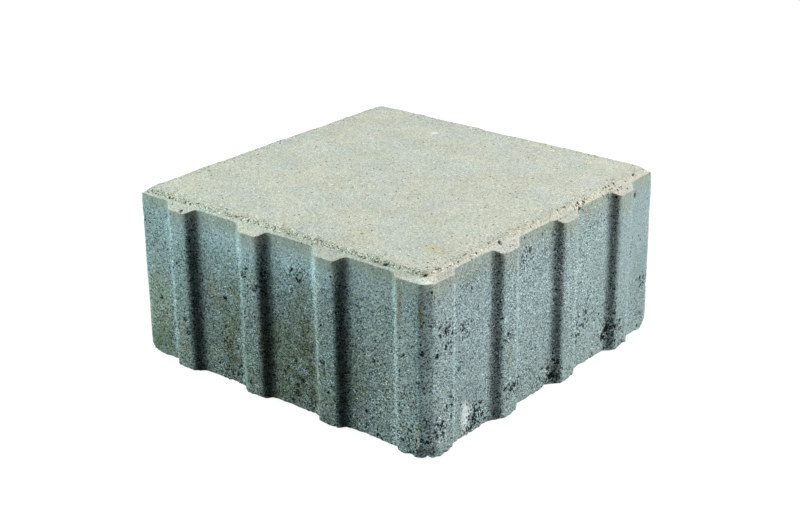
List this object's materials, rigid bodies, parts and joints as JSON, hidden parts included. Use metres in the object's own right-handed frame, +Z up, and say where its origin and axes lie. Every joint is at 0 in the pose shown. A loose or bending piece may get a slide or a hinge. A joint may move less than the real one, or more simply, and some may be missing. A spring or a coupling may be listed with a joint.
{
  "type": "concrete paving stone",
  "caption": "Square cast concrete paving stone with upright spacer ribs on its sides, bevelled top edges and two ribbed corners with a slanting flat, for laying paths and yards.",
  "frame": {"origin": "middle of the flat bed face that the stone rests on", "axes": "+Z up, from the bed face to the top face; X and Y along the two pairs of side faces, with the ribbed corners at +X -Y and -X +Y"},
  "size_m": [0.2144, 0.2144, 0.1],
  "materials": {
    "concrete": "as-cast concrete, rough speckled grey sides, finer and warmer beige-grey top"
  },
  "bodies": {
    "root": {"paving_stone": "concrete"}
  },
  "joints": []
}
